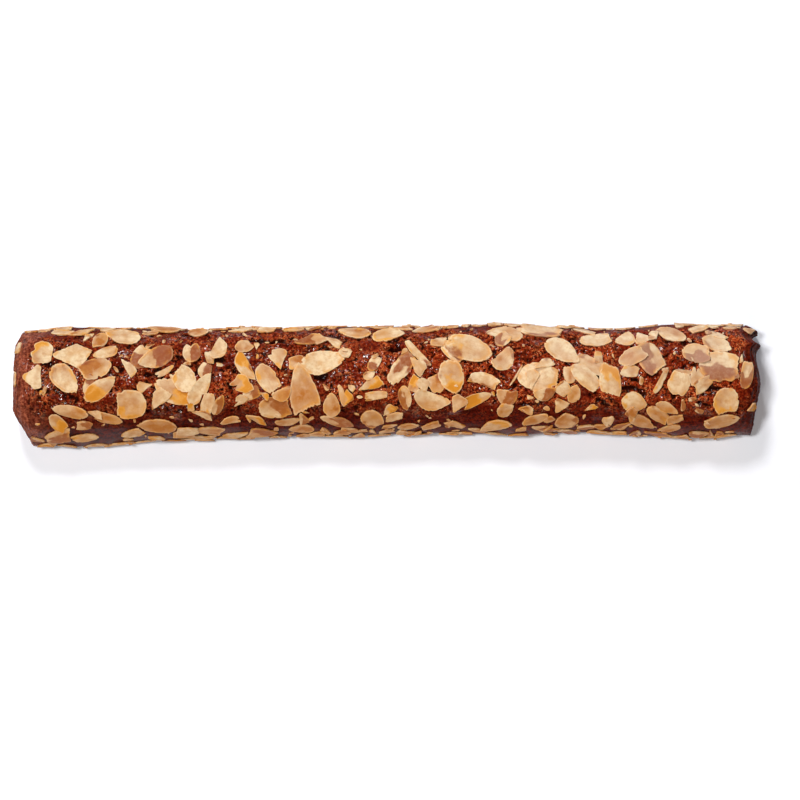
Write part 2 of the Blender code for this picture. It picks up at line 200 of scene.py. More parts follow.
# Smaller flakes that only the looks have: those tucked under the large ones, and those on top.
TUCKED = (
    (-134, -2, 75, 10, 5, "whole", "glazed", 60),
    (-130, 18, 260, 9, 7, "blunt", "tan"),
    (-95, -1, 300, 7, 5, "shard", "pale"),
    (-82, 4, 60, 7, 6, "blunt", "glazed", 0),
    (-81, -11, 75, 11, 6, "blunt", "kissed", 250),
    (-76, -11, 65, 10, 5, "whole", "glazed", 0),
    (-61, -6, 20, 8, 6, "blunt", "glazed", 0),
    (-45, -18, 10, 11, 5, "crescent", "tan"),
    (-41, 8, 20, 7, 6, "stub", "tan"),
    (-38, -17, 280, 7, 5, "shard", "glazed", 0),
    (8, -8, 280, 12, 6, "whole", "glazed", 200),
    (22, -2, 110, 9, 7, "blunt", "tan"),
    (23, 17, 190, 8, 6, "stub", "tan"),
    (30, 12, 315, 11, 7, "stub", "pale"),
    (54, -8, 270, 9, 10, "wedge", "glazed", 0),
    (82, 2, 100, 8, 6, "blunt", "tan"),
    (84, -6, 75, 9, 6, "whole", "tan"),
    (109, 4, 350, 8, 6, "stub", "kissed", 120),
    (133, 3, 0, 8, 4, "crescent", "tan"),
)
LOOSE = (
    (-169, 15, 90, 7, 5, "stub", "kissed", 180),
    (-170, 1, 90, 6, 4, "stub", "tan"),
    (-149, -19, 310, 10, 7, "blunt", "toasted", 300),
    (-137, -20, 0, 7, 5, "stub", "glazed", 0),
    (-136, 20, 60, 6, 4, "shard", "pale"),
    (-131, -15, 340, 7, 4, "shard", "pale"),
    (-127, 12, 200, 12, 6, "whole", "pale"),
    (-116, 5, 305, 10, 5, "shard", "pale"),
    (-109, -3, 10, 7, 6, "fan", "pale"),
    (-102, -8, 45, 11, 8, "shard", "pale"),
    (-100, 4, 25, 9, 4, "sliver", "kissed", 0),
    (-91, -22, 8, 11, 7, "stub", "pale"),
    (-88, 12, 100, 10, 8, "blunt", "glazed", 0),
    (-86, 22, 150, 10, 8, "blunt", "tan"),
    (-83, -15, 335, 10, 4, "shard", "pale"),
    (-80, 10, 285, 6, 4, "stub", "pale"),
    (-76, 14, 75, 11, 7, "crescent", "pale"),
    (-71, -18, 190, 9, 5, "sliver", "tan"),
    (-66, -9, 40, 8, 5, "vee", "pale"),
    (-66, -2, 0, 11, 9, "vee", "toasted", 0),
    (-65, 15, 30, 8, 7, "blunt", "tan"),
    (-59, -17, 325, 10, 4, "shard", "toasted", 0),
    (-59, 15, 270, 4, 3, "fan", "pale"),
    (-55, -7, 320, 5, 3, "shard", "toasted", 0),
    (-55, 23, 0, 8, 5, "stub", "pale"),
    (-47, -6, 30, 9, 6, "crescent", "tan"),
    (-24, 17, 325, 9, 5, "shard", "pale"),
    (-19, 12, 340, 6, 5, "blunt", "pale"),
    (-19, -7, 290, 10, 7, "vee", "toasted", 0),
    (-8, 2, 25, 6, 4, "whole", "pale"),
    (-6, 7, 60, 8, 5, "blunt", "glazed", 240),
    (-5, -7, 8, 11, 4, "stub", "pale"),
    (1, -13, 35, 7, 5, "shard", "toasted", 0),
    (3, -16, 12, 8, 5, "stub", "pale"),
    (12, -2, 75, 8, 5, "stub", "toasted", 90),
    (14, 6, 300, 9, 7, "shard", "pale"),
    (16, -2, 320, 6, 5, "blunt", "pale"),
    (32, -10, 45, 9, 8, "shard", "tan"),
    (52, 18, 45, 8, 7, "blunt", "glazed", 200),
    (53, -13, 60, 8, 7, "blunt", "tan"),
    (58, 2, 58, 11, 1.4, "sliver", "pale"),
    (63, -13, 345, 7, 5, "shard", "tan"),
    (65, 0, 265, 10, 8, "fan", "pale"),
    (71, 7, 15, 9, 5, "shard", "pale"),
    (71, -6, 15, 10, 6, "crescent", "glazed", 0),
    (73, -17, 20, 5, 4, "blunt", "tan"),
    (73, -20, 45, 6, 2, "sliver", "toasted", 0),
    (78, -11, 50, 7, 7, "shard", "pale"),
    (79, -4, 315, 7, 7, "stub", "pale"),
    (92, -12, 20, 6, 3, "shard", "toasted", 0),
    (95, 10, 88, 6, 4, "stub", "toasted", 90),
    (100, -18, 90, 8, 6, "vee", "pale"),
    (108, 19, 55, 10, 8, "crescent", "pale"),
    (110, -14, 60, 6, 5, "stub", "tan"),
    (115, 19, 280, 8, 7, "shard", "pale"),
    (121, 20, 285, 7, 5, "fan", "pale"),
    (126, -12, 335, 11, 5, "whole", "tan"),
    (130, -17, 18, 8, 5, "stub", "tan"),
    (133, -11, 90, 6, 3, "sliver", "glazed", 0),
    (139, 2, 270, 10, 7, "vee", "kissed", 0),
    (142, -2, 35, 9, 6, "stub", "pale"),
    (150, 20, 333, 10, 4, "stub", "pale"),
    (168, -12, 10, 7, 5, "shard", "toasted", 0),
)

# Small flakes strewn on the sides, and chips strewn over it all, as (typical length, how many).
SIDE_FLAKES = ((7 * MM, 44),)
CHIPS = ((3.4 * MM, 70), (2.0 * MM, 90))
SCATTER_LENGTHS = (0.65, 1.35)
SCATTER_WIDTHS = (0.35, 0.8)
SCATTER_SHAPES = ("shard", "shard", "blunt", "stub", "sliver", "fan", "whole")
SCATTER_TRIES = 3
SCATTER_SEED = 23
SEEDS_APART = 1000

# The tones of the strewn flakes, and how tan a flake of each tone is.
TONE_CHANCES = ("pale",) * 5 + ("tan",) * 9 + ("kissed",) * 3 + ("toasted",) * 2 + ("glazed",) * 3
FOOT_TONES = ("tan", "tan", "kissed", "toasted", "glazed")
TAN_BY_TONE = {"pale": 0.15, "kissed": 0.3, "tan": 0.7, "toasted": 0.5, "glazed": 0.42}
TAN_SPREAD = (-0.15, 0.2)
TAN_SLOPES = (0.15, 0.55)

# How each kind of flake is built: corners of its outline, where its rings of points lie as shares of
# the way from its middle to its edge, its thickness, and how jagged its edge is.
Plate = collections.namedtuple("Plate", "corners rings thickness jagged")
LARGE_PLATE = Plate(64, (0.2, 0.4, 0.6, 0.78, 0.9, 0.97, 1.0), 0.7 * MM, 0.09)
UNDER_PLATE = Plate(36, (0.45, 0.8, 0.95, 1.0), 0.7 * MM, 0.1)
LOOSE_PLATE = Plate(44, (0.45, 0.8, 0.95, 1.0), 0.7 * MM, 0.1)
CHIP_PLATE = Plate(12, (0.7, 1.0), 0.55 * MM, 0.2)
UNDERSIDE_SHARE = 0.97
ROUNDED_FROM = 0.93
ROUNDED_SHARE = 0.2
RIPPLE_HEIGHT = 0.2 * MM
SHARP_ANGLE = 40

# How hollow a break is, and the chance of a notch in a whole and in a broken flake, and its size.
BREAK_HOLLOWS = (-0.05, 0.22)
NOTCH_CHANCES = (0.2, 0.5)
NOTCH_SPREAD = (0.1, 0.35)
VEE_NOTCH_AT = (150, 210)
VEE_NOTCH_SIZE = (0.5, 0.78)

# How a flake rests. From SIDE_START round from the ridge it lies closer to the dough, and curls less.
SIDE_START = 13 * MM
SIDE_EASE = 10 * MM
TOP_TILT = 0.2
SIDE_TILT = 0.07
CURL_LENGTHWISE = (-0.2 * MM, 1.4 * MM)
CURL_ACROSS = (-0.55 * MM, 0.5 * MM)
FULL_CURL_LENGTH = 14 * MM
SIDE_CURL_LOSS = 0.75
TOUCHING_PERCENTILE = 82
SINK = 0.12 * MM
PRESSED_SHARE = 0.45

# The relief of the crust: how large a feature is, how high or deep, and its place in the noise.
Feature = collections.namedtuple("Feature", "size height offset")
LUMPS = Feature(8 * MM, 0.45 * MM, 21.3)
KNOBS = Feature(4.4 * MM, 0.6 * MM, 9.1)
CLODS = Feature(2.5 * MM, 0.85 * MM, 5.5)
GRIT = Feature(1.3 * MM, 0.26 * MM, 14.2)
PITS = Feature(2.3 * MM, 1.1 * MM, 60.5)
CRACKS = Feature((13 * MM, 5.5 * MM, 5.5 * MM), 1.25 * MM, 31.0)
SMEARS = Feature((1.1 * MM, 16 * MM, 1.0), 0.7 * MM, 71.0)
WRINKLES = Feature((8 * MM, 1.9 * MM, 1.0), 0.26 * MM, 83.0)
SMOOTH_END = 34 * MM
# Skin starts nearer the ridge in front, so its dark colour, partly painted shade, covers more of it.
FRONT_SHOULDER = 0.28
BACK_SHOULDER = 0.5
FOOT_EASE = 4 * MM

# Where the crust tore open as it rose: place, length and width in millimetres.
TEAR_DEPTH = 1.5 * MM
TEARS = (
    (-155, -5, 9, 3),
    (-77, 9, 10, 4),
    (-54, 18, 24, 2.5),
    (-30, 1, 8, 4),
    (3, 14, 11, 2.5),
    (50, 6, 11, 2.5),
    (107, -4, 14, 2.5),
    (146, -4, 12, 2.5),
)

# The fine mesh of the dough: counts of points, and how far from the ridge they are close together.
CRUST_COLUMNS = 670
CLOSE_ROWS = 97
CLOSE_REACH = 24 * MM
WIDE_ROWS = 21
BASE_ROWS = 8

# The camera, the lights as (name, place, size, power, colour), the sky and the floor.
CAMERA_TARGET = (5.7 * MM, -8.0 * MM, 15 * MM)
CAMERA_ELEVATION = 85.5
CAMERA_DISTANCE = 1013 * MM
CAMERA_LENS = 100
LIGHTS = (
    ("key", (-0.33, 0.05, 1.15), 0.2, 9.6, (1, 1, 1)),
    ("back", (-0.2, 0.85, 1.0), 0.25, 10.0, (1, 1, 1)),
    ("fill", (0.0, -1.1, 0.5), 0.8, 3.7, (1, 0.7, 0.4)),
)
SKY_TOWARD = (-0.25, 0.45, 0.86)
SKY_STRENGTH = (0.012, 0.022)
FLOOR_REACH = 3.0
FLOOR_DROP = 0.2 * MM


# ---- The form of the dough ----


def ease(value):
    """0 below 0, 1 above 1, and a smooth step between."""
    value = np.clip(value, 0.0, 1.0)
    return value * value * (3 - 2 * value)


def bump(value, middle, width):
    """A smooth hill, 1 at its middle."""
    return np.exp(-(((value - middle) / width) ** 2))


def turned(a, b, angle):
    """(a, b) turned by that angle."""
    return a * math.cos(angle) - b * math.sin(angle), a * math.sin(angle) + b * math.cos(angle)


def distances(points):
    """How far each point lies along the line through them."""
    steps = np.linalg.norm(np.diff(points, axis=0), axis=1)
    return np.concatenate(([0.0], np.cumsum(steps)))


def half_section(steps=90):
    """(y, z) from the ridge to the back foot."""
    angle = np.linspace(0, math.pi / 2, steps + 1)
    y = BAR_WIDTH / 2 * np.sin(angle) ** (2 / SQUARENESS)
    z = BAR_HEIGHT * np.maximum(0.0, np.cos(angle)) ** (2 / SQUARENESS)
    return np.stack((y * (1 - FOOT_TUCK * np.exp(-z / FOOT_TUCK_HEIGHT)), z), axis=1)


def half_ridge(steps=60):
    """(x, height) from the middle of the bar over the ridge and down to the tip of the end."""
    lowest = math.acos(TIP_HEIGHT_SHARE ** (END_SQUARENESS / 2))
    angle = np.linspace(0, lowest, steps + 1)
    x = BAR_LENGTH / 2 - END_ROUND + END_ROUND * np.sin(angle) ** (2 / END_SQUARENESS)
    height = BAR_HEIGHT * np.cos(angle) ** (2 / END_SQUARENESS)
    return np.concatenate(([[0.0, BAR_HEIGHT]], np.stack((x, height), axis=1)))


SECTION = half_section()
SECTION_MARKS = distances(SECTION)
RIDGE = half_ridge()
RIDGE_MARKS = distances(RIDGE)
FOOT = SECTION_MARKS[-1]
TIP = RIDGE_MARKS[-1]


def swell(x):
    """How wide the bar is at x, as a share of BAR_WIDTH."""
    left = LEFT_SWELL * ease((-x - BAR_LENGTH / 2 + LEFT_SWELL_LENGTH) / LEFT_SWELL_LENGTH)
    right = RIGHT_SWELL * ease((x - BAR_LENGTH / 2 + RIGHT_SWELL_LENGTH) / RIGHT_SWELL_LENGTH)
    waves = sum(height * np.sin(x / scale + phase) for height, scale, phase in SIDE_WAVES)
    return 1 + (left + right + waves) / (BAR_WIDTH / 2)


def centre_line(x):
    """y of the ridge at x."""
    left = LEFT_BOW * (0.5 - x / BAR_LENGTH) ** 2
    right = RIGHT_BOW * ease((x / BAR_LENGTH - 0.1) / 0.25)
    return BACK_SHIFT - left - right


def lump(x, around):
    """How far the dough bulges there."""
    wide = np.sin(x / (14 * MM) + 1.3) * np.cos(around / (12 * MM) + 0.4)
    close = np.sin(x / (6.3 * MM) + around / (9 * MM) + 2.1) * np.cos(around / (5.7 * MM) - 0.8)
    return LUMP_HEIGHT * (wide + 0.7 * close)


def end_inset(x, across):
    """How far the end is set back, across the bar from -1 to 1."""
    front = FRONT_CORNER_CUT * ease((-0.3 - across) / 0.75)
    back = BACK_CORNER_CUT * ease((across - 0.6) / 0.4)
    ear = EAR_REACH * bump(across, EAR_PLACE, EAR_WIDTH)
    belly = BELLY_REACH * bump(across, BELLY_PLACE, BELLY_WIDTH)
    return np.where(x < 0, front + back, RIGHT_SETBACK - ear - belly)


def crust_points(along, around):
    """The points of the smooth dough at those distances over its surface."""
    along, around = np.broadcast_arrays(along, around)
    x = np.copysign(np.interp(np.abs(along), RIDGE_MARKS, RIDGE[:, 0]), along)
    stands = np.interp(np.abs(along), RIDGE_MARKS, RIDGE[:, 1]) / BAR_HEIGHT
    y = np.copysign(np.interp(np.abs(around), SECTION_MARKS, SECTION[:, 0]), around)
    z = np.interp(np.abs(around), SECTION_MARKS, SECTION[:, 1])
    near_end = ease((np.abs(x) - BAR_LENGTH / 2 + INSET_FADE) / INSET_FADE)
    inset = end_inset(x, y / (BAR_WIDTH / 2)) * near_end
    raised = 1 + lump(x, around) * stands / (BAR_WIDTH / 2)
    narrowed = 1 - END_NARROWING * (1 - stands) ** 2
    y = centre_line(x) + y * swell(x) * raised * narrowed
    return np.stack((x - np.copysign(inset, x), y, z * stands * raised), axis=-1)


def crust_normals(along, around, step=0.5 * MM):
    """The outward directions of the smooth dough there."""
    over = crust_points(along + step, around) - crust_points(along - step, around)
    side = crust_points(along, around + step) - crust_points(along, around - step)
    normals = np.cross(over, side)
    return normals / np.linalg.norm(normals, axis=-1, keepdims=True)


def around_at(along, y, halvings=24):
    """`around` of the point that lies at y, seen from above."""
    low, high = -FOOT, FOOT
    for _ in range(halvings):
        middle = (low + high) / 2
        if crust_points(along, middle)[1] < y:
            low = middle
        else:
            high = middle
    return middle


# ---- The relief of the crust ----


def noise_at(x, y, z):
    """Smooth noise of about -1 to 1 at each place."""
    x, y, z = np.broadcast_arrays(x, y, z)
    places = zip(x.ravel(), y.ravel(), z.ravel())
    return np.array([noise.noise(Vector(place)) for place in places]).reshape(x.shape)


def noise_field(points, size, offset):
    """Noise at the points with features of about that size, which may be one length or one for
    each axis."""
    return noise_at(*np.moveaxis(points / size + offset, -1, 0))


def torn_open(points):
    """How far the crust is torn open at each point."""
    ragged = 1.4 * MM * noise_field(points, 2.6 * MM, 17.0)
    torn = np.zeros(points.shape[:-1])
    for x, y, length, width in TEARS:
        over = (points[..., 0] - x * MM) / (length * MM / 2)
        across = (points[..., 1] - y * MM + ragged) / (width * MM / 2)
        torn = np.maximum(torn, ease(1.3 * (1 - over**2 - across**2)))
    return torn


def crust_relief(along, around, points):
    """How far the baked surface stands out from the smooth dough, where it is smooth skin, and how
    deep its pits and cracks are."""
    patch = noise_field(points, 11 * MM, 3.7)
    shoulder = np.where(around < 0, FRONT_SHOULDER, BACK_SHOULDER)
    side = ease((np.abs(around) / FOOT - shoulder + 0.16 * patch) / 0.18)
    end = ease((np.abs(along) - TIP + SMOOTH_END + 5 * MM * patch) / (6 * MM))
    bare = 0.7 * ease((noise_field(points, 7 * MM, 52.6) - 0.1) / 0.16)
    skin = np.maximum.reduce((side, end, bare))
    crumb = 1 - skin
    worked = 0.15 + 0.85 * np.maximum(crumb, 0.4 * end)

    lumps = noise_field(points, LUMPS.size, LUMPS.offset)
    knobs = 1 - 2 * np.abs(noise_field(points, KNOBS.size, KNOBS.offset))
    clods = np.abs(noise_field(points, CLODS.size, CLODS.offset)) - 0.2
    grit = noise_field(points, GRIT.size, GRIT.offset)
    holes = noise_field(points, PITS.size, PITS.offset) + 0.35 * grit
    pit = ease((holes - 0.36) / 0.12) * crumb
    jag = 0.3 * noise_field(points, 1.9 * MM, 8.8)
    vein = np.abs(noise_field(points, CRACKS.size, CRACKS.offset) + jag)
    cracked = ease((noise_field(points, 14 * MM, 44.0) - 0.02) / 0.15)
    crack = bump(vein, 0.0, 0.07) * cracked * crumb
    torn = torn_open(points)
    flow = np.stack((along, around, np.zeros_like(along)), axis=-1)
    smear = noise_field(flow, SMEARS.size, SMEARS.offset + 0.35 * patch[..., None]) * end
    wrinkle = noise_field(flow, WRINKLES.size, WRINKLES.offset) * side * (1 - end)

    relief = (
        LUMPS.height * lumps
        + KNOBS.height * knobs * (0.25 + 0.75 * crumb)
        + CLODS.height * clods * worked
        + GRIT.height * grit * worked
        + SMEARS.height * smear
        + WRINKLES.height * wrinkle
        - CRACKS.height * crack
        - PITS.height * pit
        - TEAR_DEPTH * torn
    )
    return relief, skin, np.maximum.reduce((crack, pit, torn))


# ---- Laying the flakes ----


def landmark_flakes(rows, first_seed):
    """The flakes of one of the tables."""
    flakes = []
    for x, y, turn, length, width, shape, tone, *mark in rows:
        along = x * MM
        around = around_at(along, y * MM)
        look = (tone, *(mark or (0,)), first_seed + len(flakes))
        flakes.append(Flake(along, around, turn, length * MM, width * MM, shape, *look))
    return flakes


def room_around(along, around, flakes):
    """The distance over the crust from that place to the nearest flake's edge, were it round."""
    return min(
        math.hypot(along - other.along, around - other.around) - (other.length + other.width) / 4
        for other in flakes
    )


def roomiest_place(draw, flakes, tries, end_edge, nearest, side_edge):
    """(along, around) of the place with the most room, out of some drawn between those bounds."""
    places = [
        (draw.uniform(-end_edge, end_edge), draw.choice((-1, 1)) * draw.uniform(nearest, side_edge))
        for _ in range(tries)
    ]
    return max((room_around(*place, flakes), *place) for place in places)[1:]


def drawn_form(draw, typical_length, turns):
    """The length, width, turn and shape of one more flake, and how wide it is around the bar."""
    length = typical_length * draw.uniform(*LENGTH_SPREAD)
    width = length * draw.uniform(*WIDTH_SHARE)
    turn = draw.choice(turns) + draw.uniform(-TURN_SPREAD, TURN_SPREAD)
    shape = draw.choice(SHAPE_CHANCES)
    across = math.hypot(length * math.sin(math.radians(turn)), width * math.cos(math.radians(turn)))
    return length, width, turn, shape, across


def foot_flakes(draw, tones, placed):
    """A row of flakes along each foot, by the same draws as in the solid's source."""
    flakes = list(placed)
    for side, step in itertools.product((-1, 1), range(FOOT_COUNT)):
        length, width, turn, shape, across = drawn_form(draw, draw.uniform(*FOOT_LENGTHS), FOOT_TURNS)
        end_edge = TIP - BARE_END - length / 2
        even_place = (2 * step + 1) / FOOT_COUNT - 1
        along = end_edge * even_place + draw.uniform(-FOOT_JITTER, FOOT_JITTER)
        around = side * (FOOT - EDGE_CLEARANCE - across / 2 - draw.uniform(0, FOOT_RISE))
        tone, mark = tones.choice(FOOT_TONES), tones.uniform(0, 360)
        flakes.append(Flake(along, around, turn, length, width, shape, tone, mark, len(flakes)))
    return flakes


def strewn_flakes(draw, tones, placed):
    """The flakes strewn on the sides, by the same draws as in the solid's source."""
    flakes = list(placed)
    for typical_length in STREWN:
        length, width, turn, shape, across = drawn_form(draw, typical_length, STREW_TURNS)
        side_edge = FOOT - EDGE_CLEARANCE - across / 2
        end_edge = TIP - BARE_END - length / 2
        along, around = roomiest_place(draw, flakes, STREW_TRIES, end_edge, STREW_FROM, side_edge)
        tone, mark = tones.choice(TONE_CHANCES), tones.uniform(0, 360)
        flakes.append(Flake(along, around, turn, length, width, shape, tone, mark, len(flakes)))
    return flakes


def scattered(placed, sizes, nearest, seed):
    """More pieces in the room that is left, at least `nearest` round from the ridge."""
    draw = random.Random(seed)
    pieces = []
    for typical_length in [length for length, count in sizes for _ in range(count)]:
        length = typical_length * draw.uniform(*SCATTER_LENGTHS)
        width = length * draw.uniform(*SCATTER_WIDTHS)
        side_edge = FOOT - EDGE_CLEARANCE - length / 2
        end_edge = TIP - 1.5 * BARE_END
        along, around = roomiest_place(draw, placed + pieces, SCATTER_TRIES, end_edge, nearest, side_edge)
        turn, mark = draw.uniform(0, 360), draw.uniform(0, 360)
        shape, tone = draw.choice(SCATTER_SHAPES), draw.choice(TONE_CHANCES)
        piece_seed = SEEDS_APART * seed + len(pieces)
        pieces.append(Flake(along, around, turn, length, width, shape, tone, mark, piece_seed))
    return pieces


def drawn_breaks(flake, draw):
    """(direction, distance from the middle) of each break of a flake."""
    breaks = []
    for direction, distance in SHAPES[flake.shape].breaks:
        direction += draw.uniform(-BREAK_TURN, BREAK_TURN)
        breaks.append((math.radians(direction), distance * draw.uniform(*BREAK_DEPTH)))
    return breaks


def drawn_notch(flake, draw):
    """Where the edge of a flake is notched, how wide and how deep: 0 if it isn't."""
    if flake.shape == "vee":
        return math.radians(draw.uniform(*VEE_NOTCH_AT)), *VEE_NOTCH_SIZE
    is_notched = draw.random() < NOTCH_CHANCES[bool(SHAPES[flake.shape].breaks)]
    toward, width = draw.uniform(0, math.tau), draw.uniform(*NOTCH_SPREAD)
    return toward, width, draw.uniform(*NOTCH_SPREAD) if is_notched else 0.0


def flake_outline(flake, plate):
    """(a, b) round a flake: an almond's oval, pointed at one end, less what broke off it. The breaks
    are a little hollow and jagged, and some flakes have a notch."""
    shape = SHAPES[flake.shape]
    draw = random.Random(flake.seed)
    breaks = drawn_breaks(flake, draw)
    notch_at, notch_width, notch_depth = drawn_notch(flake, draw)
    angle = np.arange(plate.corners) * math.tau / plate.corners
    wave = noise_at(1.6 * np.cos(angle), 1.6 * np.sin(angle), 0.37 * flake.seed)
    nicks = noise_at(7 * np.cos(angle), 7 * np.sin(angle), 0.53 * flake.seed)
    teeth = noise_at(0.83 * np.arange(plate.corners), 0.71 * flake.seed, 4.4)
    uneven = 1 + 0.1 * wave - 0.16 * np.maximum(nicks - 0.1, 0) + 0.35 * plate.jagged * teeth
    a = (shape.middle + shape.reach * np.cos(angle)) * uneven
    b = FULLNESS * np.sin(angle) * np.sin(angle / 2) ** TIP_SHARPNESS * uneven
    for toward, distance in breaks:
        out, on_break = turned(a, b, -toward)
        hollow = 1 + draw.uniform(*BREAK_HOLLOWS) * on_break**2
        shrink = np.maximum(out / (distance * hollow * (1 + plate.jagged * teeth)), 1.0)
        a, b = a / shrink, b / shrink
    off = np.abs(np.angle(np.exp(1j * (np.arctan2(b, a) - notch_at))))
    keep = 1 - notch_depth * np.clip(1 - off / notch_width, 0, 1) * (1 + 0.4 * teeth)
    a, b = a * keep, b * keep
    return a * flake.length / 2, (b + shape.bend * (a * a - 0.4)) * flake.width / 2


class Cover:
    """All that lies on the smooth dough so far, on the crust mesh's grid: the height of its top, and
    the height that the flakes on it leave to the crust."""

    def __init__(self, along, around, relief):
        self.along = along
        self.around = around
        self.tops = relief.copy()
        self.room = np.full_like(relief, 1.0)

    def lay(self, flake, outline, thickness, draw):
        """Rests a flake on what is there, and returns a function that gives its underside's height."""
        reach = np.hypot(*outline).max()
        rows = slice(*np.searchsorted(self.along, (flake.along - reach, flake.along + reach)))
        columns = slice(*np.searchsorted(self.around, (flake.around - reach, flake.around + reach)))
        over = self.along[rows, None] - flake.along
        across = self.around[None, columns] - flake.around
        a, b = turned(over, across, -math.radians(flake.turn))
        bearing = np.arctan2(outline[1], outline[0])
        order = np.argsort(bearing)
        edge = np.interp(np.arctan2(b, a), bearing[order], np.hypot(*outline)[order], period=math.tau)
        inside = np.hypot(a, b) < edge
        tops, room = self.tops[rows, columns], self.room[rows, columns]
        on_side = ease((abs(flake.around) - SIDE_START) / SIDE_EASE)
        most_tilt = TOP_TILT + (SIDE_TILT - TOP_TILT) * on_side
        curl_share = min(1.0, flake.length / FULL_CURL_LENGTH) ** 2 * (1 - SIDE_CURL_LOSS * on_side)
        curl_a = draw.uniform(*CURL_LENGTHWISE) * curl_share
        curl_b = draw.uniform(*CURL_ACROSS) * curl_share

        def curl(a, b):
            return curl_a * (2 * a / flake.length) ** 2 + curl_b * (2 * b / flake.width) ** 2

        if inside.sum() < 4:
            base = tops.max() if tops.size else 0.0
            tilt_a = tilt_b = 0.0
        else:
            under, at_a, at_b = tops[inside], a[inside], b[inside]
            sheet = np.stack((np.ones_like(at_a), at_a, at_b), axis=1)
            fit = np.linalg.lstsq(sheet, under, rcond=None)[0]
            tilt_a, tilt_b = np.clip(fit[1:], -most_tilt, most_tilt)
            rest = under - tilt_a * at_a - tilt_b * at_b - curl(at_a, at_b)
            base = np.percentile(rest, TOUCHING_PERCENTILE) - SINK

        def underside(a, b):
            return base + tilt_a * a + tilt_b * b + curl(a, b)

        top = underside(a, b) + thickness
        tops[inside] = np.maximum(tops, top)[inside]
        room[inside] = np.minimum(room, top - PRESSED_SHARE * thickness)[inside]
        return underside


# ---- Meshes ----


class Heap:
    """Many small closed shapes gathered into one mesh, with a place and a tint kept at each point."""

    def __init__(self):
        self.points, self.faces, self.places, self.tints = [], [], [], []
        self.count = 0

    def add(self, points, faces, places, tints):
        self.faces.extend(tuple(index + self.count for index in face) for face in faces)
        self.points.append(points)
        self.places.append(places)
        self.tints.append(tints)
        self.count += len(points)

    def make(self, name, surface):
        piece = make_piece(name, np.concatenate(self.points), self.faces, surface)
        piece.data.set_sharp_from_angle(angle=math.radians(SHARP_ANGLE))
        add_attribute(piece.data, "place", np.concatenate(self.places))
        add_attribute(piece.data, "tint", np.concatenate(self.tints))
        return piece


def add_object(name, data):
    made = bpy.data.objects.new(name, data)
    bpy.context.scene.collection.objects.link(made)
    return made


def make_piece(name, points, faces, surface):
    data = bpy.data.meshes.new(name)
    data.from_pydata(points.tolist(), [], faces)
    data.materials.append(surface)
    data.shade_smooth()
    return add_object(name, data)


def add_attribute(data, name, values):
    """Keeps a number or a vector at each point."""
    kind, field = ("FLOAT", "value") if values.ndim == 1 else ("FLOAT_VECTOR", "vector")
    data.attributes.new(name, kind, "POINT").data.foreach_set(field, values.astype(np.float32).ravel())


def plate_faces(corners, rings):
    """The faces of a round plate: a top of rings about a middle point, and an underside that is a
    fan about another. Points go middle, top rings from the inmost, under ring, under middle."""
    faces = [(0, 1 + i, 1 + (i + 1) % corners) for i in range(corners)]
    for ring, i in itertools.product(range(rings), range(corners)):
        near, far, j = 1 + ring * corners, 1 + (ring + 1) * corners, (i + 1) % corners
        faces.append((near + i, far + i, far + j, near + j))
    last = 1 + rings * corners
    under = 1 + (rings + 1) * corners
    faces.extend((under, last + (i + 1) % corners, last + i) for i in range(corners))
    return faces


def lay_flake(flake, cover, heap, plate):
    """Builds one flake where it comes to rest."""
    draw = random.Random(flake.seed + 0.5)
    outline = flake_outline(flake, plate)
    underside = cover.lay(flake, outline, plate.thickness, draw)
    levels = np.append(plate.rings, UNDERSIDE_SHARE)
    a, b = (np.concatenate(([0.0], np.outer(levels, part).ravel(), [0.0])) for part in outline)
    share = np.concatenate(([0.0], np.repeat(np.append(plate.rings, 1.0), plate.corners), [0.0]))
    is_top = np.arange(len(a)) < 1 + len(plate.rings) * plate.corners
    over, across = turned(a, b, math.radians(flake.turn))
    middle = crust_points(flake.along, flake.around)
    up = crust_normals(flake.along, flake.around)
    tangent = np.array((1.0, 0.0, 0.0)) - up * up[0]
    tangent /= np.linalg.norm(tangent)
    side = np.cross(up, tangent)
    stiffness = random.Random(-1 - flake.seed).uniform(*STIFFNESS)
    bent = crust_points(flake.along + over, flake.around + across)
    flat = middle + over[:, None] * tangent + across[:, None] * side
    ripple = noise_at(a / (4 * MM), b / (3 * MM), 0.61 * flake.seed)
    rounding = np.clip((share - ROUNDED_FROM) / (1 - ROUNDED_FROM), 0, 1) ** 2 * ROUNDED_SHARE
    height = underside(a, b) + RIPPLE_HEIGHT * ripple + plate.thickness * is_top * (1 - rounding)
    points = bent + (flat - bent) * stiffness + up * height[:, None]
    places = np.stack((a / MM, b / MM, share), axis=1)
    heap.add(points, plate_faces(plate.corners, len(plate.rings)), places, flake_tints(flake, a, b, draw))


def flake_tints(flake, a, b, draw):
    """(tone, toast, stain) at each point: how tan the flake is, how far that spot is toasted, and
    how far the glaze has soaked in there."""
    p, q = 2 * a / flake.length, 2 * b / flake.width
    mottle = noise_at(1.7 * p, 1.7 * q, 0.23 * flake.seed)

    def spot(limit, softness, toward):
        return ease((turned(p, q, -toward)[0] + 0.7 * mottle - limit) / softness)

    marked = math.radians(flake.mark - flake.turn)
    elsewhere = draw.uniform(0, math.tau)
    paler = draw.uniform(0, math.tau)
    slope = draw.uniform(*TAN_SLOPES) * turned(p, q, -paler)[0]
    tan_here = np.maximum(0, TAN_BY_TONE[flake.tone] + draw.uniform(*TAN_SPREAD) + slope + 0.5 * mottle)
    toast = {"kissed": 0.75 * spot(0.15, 0.9, marked), "toasted": spot(-0.45, 1.0, marked)}
    stain = {"glazed": spot(-0.45, 0.8, marked)}
    toast_here = toast.get(flake.tone, 0.8 * draw.random() * spot(0.45, 0.7, elsewhere))
    stain_here = stain.get(flake.tone, 0.8 * draw.random() * spot(0.25, 0.8, elsewhere + 2))
    return np.stack((tan_here, toast_here, stain_here), axis=1)


